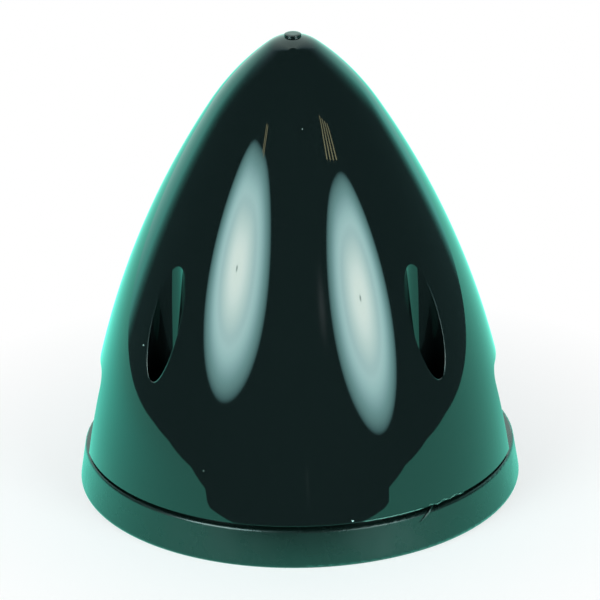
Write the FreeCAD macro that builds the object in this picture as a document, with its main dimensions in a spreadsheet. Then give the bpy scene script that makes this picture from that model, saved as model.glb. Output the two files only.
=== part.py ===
"""Two-blade propeller spinner for a model aircraft: moulded cone, moulded backplate and four cone screws.

Frame: +Z points forward along the crankshaft, the origin is the centre of the backplate's rear face, and the
blade cut-outs open along X. All lengths are in millimetres and all angles in degrees.
"""
import FreeCAD
import Part
import Sketcher
import math
import os

DRIVING_SIZES = [
    # Backplate rim and floor
    ("rim_diameter", 57.0, "rear edge of the rim, the nominal spinner size"),
    ("rim_height", 5.0, "rear face to the top of the rim's lip"),
    ("rim_draft", 0.8, "radial draw-in of the rim's outer side from rear edge to lip"),
    ("lip_wall", 1.0, "thickness of the lip"),
    ("lip_round", 0.35, "rounding of the lip's outer edge"),
    ("heel_round", 0.5, "rounding of the rim's rear edge"),
    ("floor_thickness", 3.0, "backplate floor"),
    # Hub, bore and rear groove
    ("hub_diameter", 17.0, "boss that the propeller hub is clamped against"),
    ("hub_rise", 2.5, "boss above the floor"),
    ("bore_diameter", 6.4, "hole for a 6.35 mm crankshaft"),
    ("bore_chamfer", 0.5, "lead-in at both ends of the bore"),
    ("groove_inner_diameter", 22.0, "rear coring groove, hub side"),
    ("groove_width", 7.0, "rear coring groove, radial width"),
    ("groove_depth", 1.4, "rear coring groove, depth from the rear face"),
    ("groove_web", 1.2, "thickness of the webs left across the coring groove"),
    # Ribs
    ("rib_width", 1.2, "front ribs"),
    ("rib_rise", 1.6, "front ribs above the floor"),
    ("rib_end_gap", 0.5, "rib end to the cone's spigot"),
    # Screws and their posts
    ("screw_angle", 42.7, "angle between the blade axis and the screws"),
    ("screw_inset", 4.75, "lip's inner wall to the screw axis"),
    ("post_diameter", 6.0, "backplate posts"),
    ("post_rise", 3.0, "posts above the floor"),
    ("pilot_diameter", 2.2, "pilot holes in the posts"),
    ("pilot_spare_depth", 0.6, "pilot hole beyond the screw's tip"),
    ("thread_core_gap", 0.1, "pilot wall to the screw's core"),
    ("screw_length", 6.0, "under the head"),
    ("screw_point", 1.0, "length of the tapered point"),
    ("screw_tip_diameter", 0.5, "blunt end of the point"),
    ("head_diameter", 4.4, "pan head"),
    ("head_side", 0.8, "cylindrical side of the pan head"),
    ("head_crown", 0.8, "domed top of the pan head above its side"),
    ("recess_span", 2.4, "cross recess, tip to tip"),
    ("recess_slot", 0.55, "cross recess, slot width"),
    ("recess_depth", 0.9, "cross recess, depth from the crown"),
    # Cone
    ("seam_gap", 0.45, "lip to the cone's base edge"),
    ("seam_step", 0.15, "cone's base edge inside the lip's outer edge"),
    ("cone_height", 54.75, "base edge to the top of the skin"),
    ("tip_radius", 5.4, "arc of the skin over the tip"),
    ("tip_edge_lean", 51.5, "inward lean of the skin where the tip arc ends"),
    ("shoulder_radius", 34.3, "arc of the skin between tip and side"),
    ("side_edge_lean", 32.7, "inward lean of the skin where the side arc ends"),
    ("cone_wall", 1.8, "skin thickness"),
    ("nub_diameter", 2.2, "gate nub on the tip"),
    ("nub_rise", 0.3, "gate nub above the skin's top"),
    ("nub_round", 0.2, "height of the rounding over the nub's edge"),
    ("spigot_gap", 0.15, "lip to the cone's spigot, radial"),
    ("spigot_floor_gap", 0.2, "end of the spigot to the backplate's floor"),
    ("well_diameter", 5.0, "screw wells"),
    ("well_wall", 1.2, "wall of the tubes round the wells"),
    ("well_floor", 2.0, "floor under the screw heads"),
    ("screw_clearance_diameter", 2.9, "holes through the well floors"),
    ("post_gap", 0.25, "cone to the sides of the posts"),
    ("blade_width", 14.5, "blade cut-outs, across"),
    ("blade_offset", 1.75, "middle of the blade cut-outs past the crankshaft axis, towards the rear screws"),
    ("blade_height", 11.25, "blade cut-outs above the cone's base edge"),
    ("blade_corner", 2.0, "rounded upper corners of the blade cut-outs"),
]

# Heights above the rear face and radii from the crankshaft axis, worked out from the driving sizes
RIM_R = "Sizes.rim_diameter / 2"
LIP_R = f"({RIM_R} - Sizes.rim_draft)"
LIP_INNER_R = f"({LIP_R} - Sizes.lip_wall)"
HUB_R = "Sizes.hub_diameter / 2"
HUB_TOP = "(Sizes.floor_thickness + Sizes.hub_rise)"
BORE_R = "Sizes.bore_diameter / 2"
POST_TOP = "(Sizes.floor_thickness + Sizes.post_rise)"
SCREW_SEAT = f"({POST_TOP} + Sizes.well_floor)"
SCREW_R = f"({LIP_INNER_R} - Sizes.screw_inset)"
SCREW_X = f"({SCREW_R} * cos(Sizes.screw_angle * 1 deg))"
SCREW_Y = f"({SCREW_R} * sin(Sizes.screw_angle * 1 deg))"
PILOT_BOTTOM = f"({SCREW_SEAT} - Sizes.screw_length - Sizes.pilot_spare_depth)"
BASE_Z = "(Sizes.rim_height + Sizes.seam_gap)"
BASE_R = f"({LIP_R} - Sizes.seam_step)"
TOP_Z = f"({BASE_Z} + Sizes.cone_height)"
SPIGOT_R = f"({LIP_INNER_R} - Sizes.spigot_gap)"
SPIGOT_END = "(Sizes.floor_thickness + Sizes.spigot_floor_gap)"

# The skin's profile is three tangent arcs: tip, shoulder and side. Each join is where the skin has its lean.
TIP_LEAN = "Sizes.tip_edge_lean * 1 deg"
SIDE_LEAN = "Sizes.side_edge_lean * 1 deg"
TIP_JOIN_R = f"(Sizes.tip_radius * cos({TIP_LEAN}))"
TIP_JOIN_Z = f"({TOP_Z} - Sizes.tip_radius * (1 - sin({TIP_LEAN})))"
SIDE_JOIN_R = f"({TIP_JOIN_R} + Sizes.shoulder_radius * (cos({SIDE_LEAN}) - cos({TIP_LEAN})))"
SIDE_JOIN_Z = f"({TIP_JOIN_Z} - Sizes.shoulder_radius * (sin({TIP_LEAN}) - sin({SIDE_LEAN})))"
SIDE_SPREAD = f"({BASE_R} - {SIDE_JOIN_R})"
SIDE_RISE = f"({SIDE_JOIN_Z} - {BASE_Z})"
SIDE_BULGE = f"({SIDE_RISE} * sin({SIDE_LEAN}) - {SIDE_SPREAD} * cos({SIDE_LEAN}))"
SIDE_RADIUS = f"(({SIDE_SPREAD} ^ 2 + {SIDE_RISE} ^ 2) / (2 * {SIDE_BULGE}))"
SIDE_CENTRE_R = f"({SIDE_JOIN_R} - {SIDE_RADIUS} * cos({SIDE_LEAN}))"
SIDE_CENTRE_Z = f"({SIDE_JOIN_Z} - {SIDE_RADIUS} * sin({SIDE_LEAN}))"
CAVITY_REACH = f"(({SIDE_RADIUS} - Sizes.cone_wall) ^ 2 - ({BASE_Z} - {SIDE_CENTRE_Z}) ^ 2)"
CAVITY_R = f"({SIDE_CENTRE_R} + sqrt({CAVITY_REACH}))"
RIB_END = f"({CAVITY_R} - Sizes.rib_end_gap)"
OVERSHOOT = "1"  # how far a cutting shape reaches past what it cuts
SAME = 0.0001  # two lengths no further apart than this are the same

HORIZONTAL_AXIS = -1
VERTICAL_AXIS = -2
ORIGIN_POINT = (-1, 1)
START, END, CENTRE = range(1, 4)

doc = FreeCAD.newDocument("PropellerSpinner")
sheet = doc.addObject("Spreadsheet::Sheet", "Sizes")
for row, (alias, value, meaning) in enumerate(DRIVING_SIZES, start=1):
    sheet.set(f"A{row}", alias)
    sheet.set(f"B{row}", str(value))
    sheet.setAlias(f"B{row}", alias)
    sheet.set(f"C{row}", meaning)
doc.recompute()


# ---------------------------------------------------------------- sketch helpers

def new_body(label):
    """A PartDesign body whose label is the name of its file."""
    body = doc.addObject("PartDesign::Body", label)
    body.Label = label
    return body


def new_sketch(body, name, role, height="0", turn=None):
    """A sketch on one of the body's origin planes, lifted by height and turned about its normal."""
    sketch = body.newObject("Sketcher::SketchObject", name)
    plane = next(item for item in body.Origin.OriginFeatures if item.Role == role)
    sketch.AttachmentSupport = [(plane, "")]
    sketch.MapMode = "FlatFace"
    sketch.setExpression("AttachmentOffset.Base.z", height)
    if turn is not None:
        sketch.setExpression("AttachmentOffset.Rotation.Angle", turn)
    return sketch


def pin_point(sketch, geometry, end, across, upward):
    """Fix one point of a sketch at (across, upward); an expression of "0" puts it on that axis."""
    for value, kind, axis in ((across, "DistanceX", VERTICAL_AXIS), (upward, "DistanceY", HORIZONTAL_AXIS)):
        if value == "0":
            sketch.addConstraint(Sketcher.Constraint("PointOnObject", geometry, end, axis))
            continue
        now = float(sketch.evalExpression(value))
        index = sketch.addConstraint(Sketcher.Constraint(kind, *ORIGIN_POINT, geometry, end, now))
        sketch.setExpression(f"Constraints[{index}]", value)


def spot(sketch, corner):
    """The present place of a corner given as two expressions."""
    across, upward = (0.0 if value == "0" else float(sketch.evalExpression(value)) for value in corner)
    return FreeCAD.Vector(across, upward, 0)


def draw_polyline(sketch, corners, closed=True):
    """Straight edges through corners given as expressions; returns the first and last edge."""
    spots = [spot(sketch, corner) for corner in corners]
    pairs = list(zip(spots, spots[1:] + spots[:1] if closed else spots[1:]))
    edges = [sketch.addGeometry(Part.LineSegment(start, end), False) for start, end in pairs]
    for before, after in zip(edges, edges[1:]):
        sketch.addConstraint(Sketcher.Constraint("Coincident", before, END, after, START))
    if closed:
        sketch.addConstraint(Sketcher.Constraint("Coincident", edges[-1], END, edges[0], START))
    for edge, corner in zip(edges, corners):
        pin_point(sketch, edge, START, *corner)
    if not closed:
        pin_point(sketch, edges[-1], END, *corners[-1])
    return edges[0], edges[-1]


def draw_circle(sketch, across, upward, radius):
    """A circle whose centre and radius are expressions."""
    now = float(sketch.evalExpression(radius))
    circle = sketch.addGeometry(Part.Circle(spot(sketch, (across, upward)), FreeCAD.Vector(0, 0, 1), now), False)
    pin_point(sketch, circle, CENTRE, across, upward)
    index = sketch.addConstraint(Sketcher.Constraint("Radius", circle, now))
    sketch.setExpression(f"Constraints[{index}]", radius)


def draw_curve(sketch, poles):
    """A cubic curve from its first to its last pole, whose ends the caller joins to other edges."""
    spots = [spot(sketch, pole) for pole in poles]
    curve = sketch.addGeometry(Part.BSplineCurve(spots, None, None, False, len(poles) - 1, None, False), False)
    first_circle = sketch.GeometryCount
    sketch.exposeInternalGeometry(curve)
    for number in range(1, len(poles) - 1):
        pin_point(sketch, first_circle + number, CENTRE, *poles[number])
    return curve


# ---------------------------------------------------------------- feature helpers

def extrude(body, kind, name, sketch, length=None, upward=True):
    """A pad, or a pocket through everything when no length is given, going up or down from its sketch."""
    feature = body.newObject(kind, name)
    feature.Profile = sketch
    cutting = kind == "PartDesign::Pocket"
    feature.Reversed = upward if cutting else not upward
    if length is None:
        feature.Type = "ThroughAll"
    else:
        feature.Type = "Length"
        feature.setExpression("Length", length)
    body.Tip = feature
    return feature


def revolve(body, name, sketch):
    """A full turn of a sketch about its own vertical axis."""
    feature = body.newObject("PartDesign::Revolution", name)
    feature.Profile = sketch
    feature.ReferenceAxis = (sketch, ["V_Axis"])
    feature.Angle = 360
    body.Tip = feature
    return feature


def round_edge(body, name, base, radius_now, height_now, size):
    """Fillet the circular edge of base with the given radius and height."""
    doc.recompute()
    names = []
    for number, edge in enumerate(base.Shape.Edges, start=1):
        curve = edge.Curve
        if not isinstance(curve, Part.Circle):
            continue
        if abs(curve.Radius - radius_now) < SAME and abs(curve.Center.z - height_now) < SAME:
            names.append(f"Edge{number}")
    fillet = body.newObject("PartDesign::Fillet", name)
    fillet.Base = (base, names)
    fillet.setExpression("Radius", size)
    body.Tip = fillet
    return fillet


def value_of(expression):
    """The present value of an expression."""
    return float(sheet.evalExpression(expression))


def at_each_screw():
    """Names and signs of the four screw positions, named as they stand with the nose up and -Y towards the viewer."""
    for front, sign_y in (("front", -1), ("rear", 1)):
        for side, sign_x in (("left", -1), ("right", 1)):
            yield f"{front}_{side}", sign_x, sign_y


def draw_screw_circles(sketch, radius):
    """One circle on each screw axis."""
    for _, sign_x, sign_y in at_each_screw():
        draw_circle(sketch, f"{sign_x} * {SCREW_X}", f"{sign_y} * {SCREW_Y}", radius)


# ---------------------------------------------------------------- backplate

def make_backplate():
    """Drafted rim with a floor, hub, coring groove, ribs and screw posts."""
    body = new_body("backplate")
    profile = new_sketch(body, "rim_and_floor_profile", "XZ_Plane")
    groove_inner = "Sizes.groove_inner_diameter / 2"
    groove_outer = f"({groove_inner} + Sizes.groove_width)"
    draw_polyline(profile, [
        ("0", "0"),
        (groove_inner, "0"),
        (groove_inner, "Sizes.groove_depth"),
        (groove_outer, "Sizes.groove_depth"),
        (groove_outer, "0"),
        (RIM_R, "0"),
        (LIP_R, "Sizes.rim_height"),
        (LIP_INNER_R, "Sizes.rim_height"),
        (LIP_INNER_R, "Sizes.floor_thickness"),
        (HUB_R, "Sizes.floor_thickness"),
        (HUB_R, HUB_TOP),
        ("0", HUB_TOP),
    ])
    turned = revolve(body, "rim_and_floor", profile)
    heel = round_edge(body, "heel_rounding", turned, value_of(RIM_R), 0.0, "Sizes.heel_round")
    round_edge(body, "lip_rounding", heel, value_of(LIP_R), value_of("Sizes.rim_height"), "Sizes.lip_round")

    half_rib = "Sizes.rib_width / 2"
    half_web = "Sizes.groove_web / 2"
    posts = ("Sizes.screw_angle * 1 deg", "180 deg - Sizes.screw_angle * 1 deg",
             "180 deg + Sizes.screw_angle * 1 deg", "360 deg - Sizes.screw_angle * 1 deg")
    directions = [(angle, SCREW_R) for angle in posts] + [(f"{angle} deg", RIB_END) for angle in (0, 90, 180, 270)]
    for number, (angle, reach) in enumerate(directions, start=1):
        rib = new_sketch(body, f"rib_{number}_outline", "XY_Plane", "Sizes.groove_depth", angle)
        draw_polyline(rib, [(BORE_R, f"-{half_rib}"), (reach, f"-{half_rib}"), (reach, half_rib), (BORE_R, half_rib)])
        rise = "Sizes.floor_thickness - Sizes.groove_depth + Sizes.rib_rise"
        extrude(body, "PartDesign::Pad", f"rib_{number}", rib, rise)
        web = new_sketch(body, f"web_{number}_outline", "XY_Plane", "0", angle)
        inner, outer = f"{groove_inner} - {half_web}", f"{groove_outer} + {half_web}"
        draw_polyline(web, [(inner, f"-{half_web}"), (outer, f"-{half_web}"), (outer, half_web), (inner, half_web)])
        extrude(body, "PartDesign::Pad", f"web_{number}", web, "Sizes.groove_depth + Sizes.groove_web / 2")

    post = new_sketch(body, "post_circles", "XY_Plane", "Sizes.groove_depth")
    draw_screw_circles(post, "Sizes.post_diameter / 2")
    extrude(body, "PartDesign::Pad", "screw_posts", post, f"{POST_TOP} - Sizes.groove_depth")
    pilot = new_sketch(body, "pilot_circles", "XY_Plane", PILOT_BOTTOM)
    draw_screw_circles(pilot, "Sizes.pilot_diameter / 2")
    extrude(body, "PartDesign::Pocket", "pilot_holes", pilot)

    bore = new_sketch(body, "bore_profile", "XZ_Plane")
    mouth = f"({BORE_R} + Sizes.bore_chamfer)"
    draw_polyline(bore, [
        ("0", "0"),
        (mouth, "0"),
        (BORE_R, "Sizes.bore_chamfer"),
        (BORE_R, f"{HUB_TOP} - Sizes.bore_chamfer"),
        (mouth, HUB_TOP),
        ("0", HUB_TOP),
    ])
    hole = body.newObject("PartDesign::Groove", "crankshaft_bore")
    hole.Profile = bore
    hole.ReferenceAxis = (bore, ["V_Axis"])
    hole.Angle = 360
    body.Tip = hole
    return body


# ---------------------------------------------------------------- cone

def draw_ogive(sketch, inset):
    """The skin's profile, or the one parallel to it at a depth of inset, as tangent arcs from base height to the axis.

    Returns the side arc, which starts at the base, and the tip arc, which ends on the axis.
    """
    shoulder_centre = (f"{SIDE_JOIN_R} - Sizes.shoulder_radius * cos({SIDE_LEAN})",
                       f"{SIDE_JOIN_Z} - Sizes.shoulder_radius * sin({SIDE_LEAN})")
    side_radius = f"{SIDE_RADIUS} - {inset}"
    base_lean = math.asin(value_of(f"({BASE_Z} - {SIDE_CENTRE_Z}) / ({side_radius})"))
    side_lean = math.radians(value_of("Sizes.side_edge_lean"))
    tip_lean = math.radians(value_of("Sizes.tip_edge_lean"))
    arcs = []
    for centre, radius, low, high in (
        ((SIDE_CENTRE_R, SIDE_CENTRE_Z), side_radius, base_lean, side_lean),
        (shoulder_centre, f"Sizes.shoulder_radius - {inset}", side_lean, tip_lean),
        (("0", f"{TOP_Z} - Sizes.tip_radius"), f"Sizes.tip_radius - {inset}", tip_lean, math.pi / 2),
    ):
        circle = Part.Circle(spot(sketch, centre), FreeCAD.Vector(0, 0, 1), value_of(radius))
        arc = sketch.addGeometry(Part.ArcOfCircle(circle, low, high), False)
        index = sketch.addConstraint(Sketcher.Constraint("Radius", arc, value_of(radius)))
        sketch.setExpression(f"Constraints[{index}]", radius)
        arcs.append(arc)
    side, shoulder, tip = arcs
    sketch.addConstraint(Sketcher.Constraint("Tangent", side, END, shoulder, START))
    sketch.addConstraint(Sketcher.Constraint("Tangent", shoulder, END, tip, START))
    sketch.addConstraint(Sketcher.Constraint("PointOnObject", tip, CENTRE, VERTICAL_AXIS))
    sketch.addConstraint(Sketcher.Constraint("PointOnObject", tip, END, VERTICAL_AXIS))
    for geometry, end, height in (
        (side, START, BASE_Z),
        (shoulder, START, f"{SIDE_JOIN_Z} - {inset} * sin({SIDE_LEAN})"),
        (tip, START, f"{TIP_JOIN_Z} - {inset} * sin({TIP_LEAN})"),
        (tip, CENTRE, f"{TOP_Z} - Sizes.tip_radius"),
    ):
        now = value_of(height)
        index = sketch.addConstraint(Sketcher.Constraint("DistanceY", *ORIGIN_POINT, geometry, end, now))
        sketch.setExpression(f"Constraints[{index}]", height)
    return side, tip


def close_below(sketch, side, tip, corners):
    """Close an ogive profile: down the axis from the tip, through the corners and on to the side's lower end."""
    first, last = draw_polyline(sketch, corners, closed=False)
    down = sketch.addGeometry(Part.LineSegment(spot(sketch, ("0", TOP_Z)), spot(sketch, corners[0])), False)
    up = sketch.addGeometry(Part.LineSegment(spot(sketch, corners[-1]), spot(sketch, (BASE_R, BASE_Z))), False)
    sketch.addConstraint(Sketcher.Constraint("Coincident", tip, END, down, START))
    sketch.addConstraint(Sketcher.Constraint("Coincident", down, END, first, START))
    sketch.addConstraint(Sketcher.Constraint("Coincident", last, END, up, START))
    sketch.addConstraint(Sketcher.Constraint("Coincident", up, END, side, START))


def make_cavity():
    """The space inside the cone, with the four well tubes left standing in it."""
    body = new_body("cone_cavity")
    profile = new_sketch(body, "cavity_profile", "XZ_Plane")
    below = f"{SPIGOT_END} - {OVERSHOOT}"
    side, tip = draw_ogive(profile, "Sizes.cone_wall")
    close_below(profile, side, tip, [("0", below), (CAVITY_R, below)])
    revolve(body, "cavity_space", profile)
    tubes = new_sketch(body, "well_tube_circles", "XY_Plane", POST_TOP)
    draw_screw_circles(tubes, "Sizes.well_diameter / 2 + Sizes.well_wall")
    extrude(body, "PartDesign::Pocket", "well_tubes", tubes)
    return body


def make_cone(cavity):
    """Ogive shell with its gate nub, spigot, screw wells and blade cut-outs."""
    body = new_body("spinner_cone")
    profile = new_sketch(body, "skin_profile", "XZ_Plane")
    side, tip = draw_ogive(profile, "0")
    close_below(profile, side, tip, [("0", SPIGOT_END), (SPIGOT_R, SPIGOT_END), (SPIGOT_R, BASE_Z)])
    revolve(body, "skin", profile)

    nub = new_sketch(body, "nub_profile", "XZ_Plane")
    nub_r = "Sizes.nub_diameter / 2"
    nub_top = f"{TOP_Z} + Sizes.nub_rise"
    first, last = draw_polyline(nub, [
        ("0", nub_top),
        ("0", f"{TOP_Z} - {nub_r}"),
        (nub_r, f"{TOP_Z} - {nub_r}"),
        (nub_r, f"{nub_top} - Sizes.nub_round"),
    ], closed=False)
    dome = draw_curve(nub, [
        (nub_r, f"{nub_top} - Sizes.nub_round"),
        (nub_r, nub_top),
        (f"{nub_r} / 2", nub_top),
        ("0", nub_top),
    ])
    nub.addConstraint(Sketcher.Constraint("Coincident", last, END, dome, START))
    nub.addConstraint(Sketcher.Constraint("Coincident", first, START, dome, END))
    revolve(body, "gate_nub", nub)

    hollow = body.newObject("PartDesign::Boolean", "hollow")
    hollow.Type = "Cut"
    hollow.setObjects([cavity])
    body.Tip = hollow

    wells = new_sketch(body, "well_circles", "XY_Plane", SCREW_SEAT)
    draw_screw_circles(wells, "Sizes.well_diameter / 2")
    extrude(body, "PartDesign::Pocket", "screw_wells", wells)
    holes = new_sketch(body, "screw_hole_circles", "XY_Plane", SPIGOT_END)
    draw_screw_circles(holes, "Sizes.screw_clearance_diameter / 2")
    extrude(body, "PartDesign::Pocket", "screw_holes", holes)
    posts = new_sketch(body, "post_clearance_circles", "XY_Plane", SPIGOT_END)
    draw_screw_circles(posts, "Sizes.post_diameter / 2 + Sizes.post_gap")
    extrude(body, "PartDesign::Pocket", "post_clearance", posts, f"{POST_TOP} - {SPIGOT_END}")
    cut_blade_openings(body)
    return body


def cut_blade_openings(body):
    """One opening with rounded upper corners, cut along X through both sides of the shell, a little rear of the axis."""
    opening = new_sketch(body, "blade_outline", "YZ_Plane")
    near = "(Sizes.blade_offset - Sizes.blade_width / 2)"
    far = "(Sizes.blade_offset + Sizes.blade_width / 2)"
    bottom = f"{SPIGOT_END} - {OVERSHOOT}"
    top = f"({BASE_Z} + Sizes.blade_height)"
    corner = "Sizes.blade_corner"
    shoulder = f"{top} - {corner}"
    lintel_near, lintel_far = f"{near} + {corner}", f"{far} - {corner}"
    ends = draw_polyline(opening, [(near, shoulder), (near, bottom), (far, bottom), (far, shoulder)], closed=False)
    lintel = draw_polyline(opening, [(lintel_near, top), (lintel_far, top)], closed=False)[0]
    radius = value_of(corner)
    sides = ((-1, lintel_near, ends[0], START, START), (1, lintel_far, ends[1], END, END))
    for sign, across, line, line_end, lintel_end in sides:
        centre = FreeCAD.Vector(value_of(across), value_of(shoulder), 0)
        quarter = Part.Circle(centre, FreeCAD.Vector(0, 0, 1), radius)
        first, last = (90, 180) if sign < 0 else (0, 90)
        arc = opening.addGeometry(Part.ArcOfCircle(quarter, math.radians(first), math.radians(last)), False)
        at_side, at_lintel = (END, START) if sign < 0 else (START, END)
        opening.addConstraint(Sketcher.Constraint("Coincident", arc, at_side, line, line_end))
        opening.addConstraint(Sketcher.Constraint("Coincident", arc, at_lintel, lintel, lintel_end))
        index = opening.addConstraint(Sketcher.Constraint("Radius", arc, radius))
        opening.setExpression(f"Constraints[{index}]", corner)
    cut = body.newObject("PartDesign::Pocket", "blade_openings")
    cut.Profile = opening
    cut.Type = "ThroughAll"
    cut.Midplane = True
    body.Tip = cut


# ---------------------------------------------------------------- screws

def make_screw(name, sign_x, sign_y, turn):
    """Self-tapping pan-head screw, its thread left plain at core size, turned as it was driven."""
    body = new_body(f"cone_screw_{name}")
    profile = new_sketch(body, "screw_profile", "XZ_Plane")
    head_r = "Sizes.head_diameter / 2"
    core_r = "(Sizes.pilot_diameter / 2 - Sizes.thread_core_gap)"
    crown_top = "Sizes.head_side + Sizes.head_crown"
    first, last = draw_polyline(profile, [
        ("0", crown_top),
        ("0", "-Sizes.screw_length"),
        ("Sizes.screw_tip_diameter / 2", "-Sizes.screw_length"),
        (core_r, "Sizes.screw_point - Sizes.screw_length"),
        (core_r, "0"),
        (head_r, "0"),
        (head_r, "Sizes.head_side"),
    ], closed=False)
    crown = draw_curve(profile, [
        (head_r, "Sizes.head_side"),
        (head_r, crown_top),
        (f"{head_r} / 2", crown_top),
        ("0", crown_top),
    ])
    profile.addConstraint(Sketcher.Constraint("Coincident", last, END, crown, START))
    profile.addConstraint(Sketcher.Constraint("Coincident", first, START, crown, END))
    revolve(body, "head_and_core", profile)
    reach = "Sizes.recess_span / 2"
    half = "Sizes.recess_slot / 2"
    recess = new_sketch(body, "cross_recess_outline", "XY_Plane", f"{crown_top} - Sizes.recess_depth")
    draw_polyline(recess, [
        (half, half), (reach, half), (reach, f"-{half}"), (half, f"-{half}"),
        (half, f"-{reach}"), (f"-{half}", f"-{reach}"), (f"-{half}", f"-{half}"), (f"-{reach}", f"-{half}"),
        (f"-{reach}", half), (f"-{half}", half), (f"-{half}", reach), (half, reach),
    ])
    extrude(body, "PartDesign::Pocket", "cross_recess", recess)
    body.Placement = FreeCAD.Placement(FreeCAD.Vector(), FreeCAD.Rotation(FreeCAD.Vector(0, 0, 1), turn))
    body.setExpression("Placement.Base.x", f"{sign_x} * {SCREW_X}")
    body.setExpression("Placement.Base.y", f"{sign_y} * {SCREW_Y}")
    body.setExpression("Placement.Base.z", SCREW_SEAT)
    return body


# ---------------------------------------------------------------- build, check and write

backplate = make_backplate()
cone = make_cone(make_cavity())
driven_turns = {"front_left": 17, "front_right": 61, "rear_left": 38, "rear_right": 79}
screws = [make_screw(name, *signs, driven_turns[name]) for name, *signs in at_each_screw()]
sub_parts = [cone, backplate, *screws]
doc.recompute()

for item in doc.Objects:
    if {"Invalid", "Error"} & set(item.State):
        raise RuntimeError(f"{item.Label} did not build: {item.State}")
for body in sub_parts:
    if body.Shape.isNull() or not body.Shape.isValid() or len(body.Shape.Solids) != 1:
        raise RuntimeError(f"{body.Label} is not one valid solid")

os.makedirs("parts", exist_ok=True)
for body in sub_parts:
    body.Shape.exportStep(f"parts/{body.Label}.step")
    print(f"{body.Label}: {body.Shape.Volume:.1f} cubic mm, {len(body.Shape.Faces)} faces")
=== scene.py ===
"""Dresses the propeller spinner: finishes for its moulded pieces and screws, its small details, and the studio."""

import math

import bmesh
import bpy
import numpy as np
from mathutils import Matrix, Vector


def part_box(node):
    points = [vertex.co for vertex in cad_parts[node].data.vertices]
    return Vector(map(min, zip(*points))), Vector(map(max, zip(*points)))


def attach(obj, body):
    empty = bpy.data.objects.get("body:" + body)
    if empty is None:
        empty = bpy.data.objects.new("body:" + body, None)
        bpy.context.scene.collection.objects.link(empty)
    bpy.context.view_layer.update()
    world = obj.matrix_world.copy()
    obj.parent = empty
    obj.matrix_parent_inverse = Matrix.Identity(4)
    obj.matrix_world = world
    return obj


bl_info = {
    "name": "Propeller spinner",
    "version": (1, 0, 0),
    "blender": (4, 5, 0),
    "location": "3D view > Sidebar > Spinner",
    "description": "Finishes, screw threads, moulding flash, dust and studio for a moulded propeller spinner",
    "category": "Object",
}

MM = 0.001
CONE = "spinner_cone"
BACKPLATE = "backplate"
SCREWS = (
    "cone_screw_front_left",
    "cone_screw_front_right",
    "cone_screw_rear_left",
    "cone_screw_rear_right",
)
UP = np.array([0.0, 0.0, 1.0])

# The skin's three tangent arcs in mm, from the tip down to the base edge, with the leans of their joints.
SKIN_TOP, TIP_RADIUS, TIP_LEAN = 60.2, 5.4, math.radians(51.5)
SHOULDER_RADIUS, SIDE_LEAN = 34.3, math.radians(32.7)
BASE_HEIGHT, BASE_RADIUS = 5.45, 27.55
# The backplate's drafted rim in mm: its radius at the foot, and how far it draws in over its height.
RIM_RADIUS, RIM_DRAFT, RIM_HEIGHT = 28.5, 0.8, 5.0

PLASTIC_IOR = 1.53
FLASH_SHADOW = "#2f5a50"
DUST_SHADOW = "#9fb0aa"
# Cosines of the angle between two normals: 1.8 and 8 degrees, then 6.8 and 3.6 degrees.
EDGE_BEGINS, EDGE_FULL = 0.9995, 0.99
SKIN_MISSED, SKIN_MET = 0.993, 0.998

# The seam's small pieces: turns from the front in degrees, heights and reaches in mm.
FLASH_TURN, FLASH_SPAN = 36.6, 13.0
# The burr is a painted highlight: a pale hair that stands in for the light line along the base edge.
BURR_TURN, BURR_SPAN = 17.0, 18.0
WHISKER = np.array([(38.0, 5.55), (37.3, 5.30), (36.5, 4.95), (35.4, 4.55), (34.2, 4.15), (33.0, 3.85)])
WHISKER_ROOT_HEIGHT, WHISKER_ROOT_REACH, WHISKER_PROUD = 5.1, 27.62, 0.05
SPECKS = np.array([  # turn, height, and width over an ordinary speck's
    (-54.8, 24.05, 1.0), (-25.8, 11.53, 0.6), (6.5, 51.59, 0.4), (14.6, 5.75, 1.3), (88.0, 5.75, 1.3),
])

WHITE = [1.0, 1.0, 1.0, 1.0]
# The floor lies this far under the part, in metres, so that the two don't share a plane.
FLOOR_DROP = 0.00005
# The studio: distances in metres, turns from the front and lifts above the floor in degrees,
# and brightness where 1 is white.
LAMP_DISTANCE, ROOM_DISTANCE, SWEEP_DISTANCE = 2.4, 2.3, 2.0
ROOM_TONE = (0.06, 0.14, 0.135)
LAMPS = (  # name, turn, lift, and the rim's half sizes every 30 degrees, from the right through the top
    ("left", -45.6, 22.3, (22.7, 22.6, 18.8, 16.4, 17.2, 20.2, 20.6, 18.4, 18.4, 16.7, 18.4, 20.6)),
    ("right", 45.9, 18.3, (19.8, 19.6, 17.0, 16.0, 18.2, 19.9, 20.4, 18.6, 17.8, 17.5, 19.2, 18.8)),
)
LAMP_GLOW = np.array([  # radius over the rim's, then red, green and blue
    (0.0, 4.0, 5.0, 4.6), (0.018, 6.0, 8.0, 7.5), (0.035, 13.6, 16.5, 15.2), (0.15, 13.6, 16.5, 15.3),
    (0.25, 12.4, 15.6, 14.7), (0.35, 10.4, 14.0, 13.2), (0.45, 8.6, 12.4, 11.9), (0.52, 7.4, 11.3, 11.1),
    (0.56, 7.2, 11.2, 11.0), (0.62, 7.4, 11.7, 11.5), (0.70, 6.2, 10.5, 10.3), (0.78, 4.6, 8.2, 8.2),
    (0.86, 3.0, 6.0, 5.9), (0.94, 2.0, 4.2, 4.1), (1.0, 1.0, 2.3, 2.3), (1.04, 0.0, 0.0, 0.0),
])
WINDOW_COLOUR, WINDOW_STRENGTH = [0.60, 0.58, 0.32, 1.0], 7.0
WINDOWS = (  # the two side edges, each from its foot to its top, then the slats and the bright share of each
    ((((41.4, 38.3), (48.2, 49.2)), ((56.5, 35.2), (57.7, 42.1))), 4, 0.30),
    ((((-42.0, 39.0), (-46.0, 46.0)), ((-38.0, 38.5), (-41.0, 45.5))), 2, 0.34),
)
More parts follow.
